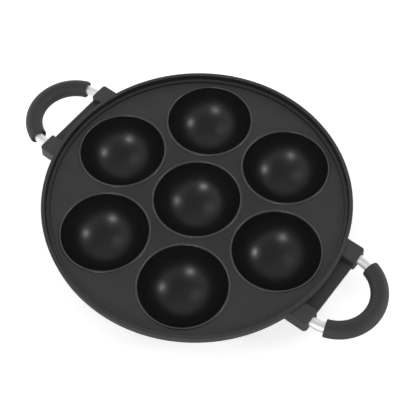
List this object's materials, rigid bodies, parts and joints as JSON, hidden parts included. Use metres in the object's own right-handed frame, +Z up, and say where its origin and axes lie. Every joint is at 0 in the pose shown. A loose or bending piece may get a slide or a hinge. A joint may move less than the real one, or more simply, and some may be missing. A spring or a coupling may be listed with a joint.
{
  "type": "takoyaki pan",
  "caption": "Round stove-top pan for ball-shaped cakes: hemispherical bowls in a ring about a middle one, raised rim, and a loop handle with sleeve grip at each side.",
  "frame": {"origin": "on the pan's axis, in the plane of the flat feet under the bowls", "axes": "+Z up out of the bowls, +X towards the right handle"},
  "size_m": [0.3226, 0.231, 0.0392],
  "materials": {
    "nonstick_coating": "satin black non-stick coating on die-cast aluminium",
    "rod_steel": "bright drawn",
    "grip_plastic": "matte moulded black",
    "pin_steel": "oiled spring steel"
  },
  "bodies": {
    "root": {"pan_casting": "nonstick_coating", "left_handle_rod": "rod_steel", "left_handle_grip": "grip_plastic", "right_handle_rod": "rod_steel", "right_handle_grip": "grip_plastic", "left_front_rod_pin": "pin_steel", "left_rear_rod_pin": "pin_steel", "right_front_rod_pin": "pin_steel", "right_rear_rod_pin": "pin_steel"}
  },
  "joints": []
}
